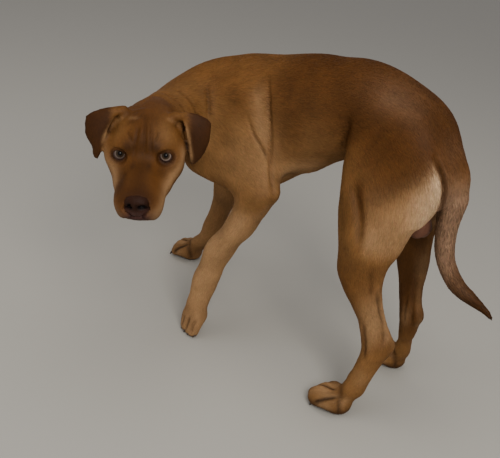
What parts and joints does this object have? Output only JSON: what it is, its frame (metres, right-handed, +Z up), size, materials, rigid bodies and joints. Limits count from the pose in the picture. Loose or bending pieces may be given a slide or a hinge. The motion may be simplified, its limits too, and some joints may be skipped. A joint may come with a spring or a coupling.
{
  "type": "dog",
  "caption": "Still life-size model of a short-coated dog standing with its front lowered, back arched and head turned back over its left side.",
  "frame": {"origin": "on the floor, below the middle of the dog's bounding box", "axes": "+Z up; +X towards the rump and tail, so the dog's body faces -X; -Y is the dog's left side, towards which its head is turned"},
  "size_m": [0.7896, 0.5238, 0.612],
  "materials": {
    "coat": "short red-brown coat over skin",
    "eye": "wet, pale amber iris round a black pupil",
    "nose": "moist, liver-brown, finely pebbled",
    "claw": "dark horn"
  },
  "bodies": {
    "root": {"trunk": "coat", "neck": "coat", "head": "coat", "leg_front_left": "coat", "leg_front_right": "coat", "leg_hind_left": "coat", "leg_hind_right": "coat", "paw_front_left": "coat", "paw_front_right": "coat", "paw_hind_left": "coat", "paw_hind_right": "coat", "tail": "coat", "ear_right": "coat", "ear_left": "coat", "scrotum": "coat", "eye_left": "eye", "eye_right": "eye", "nose": "nose"}
  },
  "joints": []
}
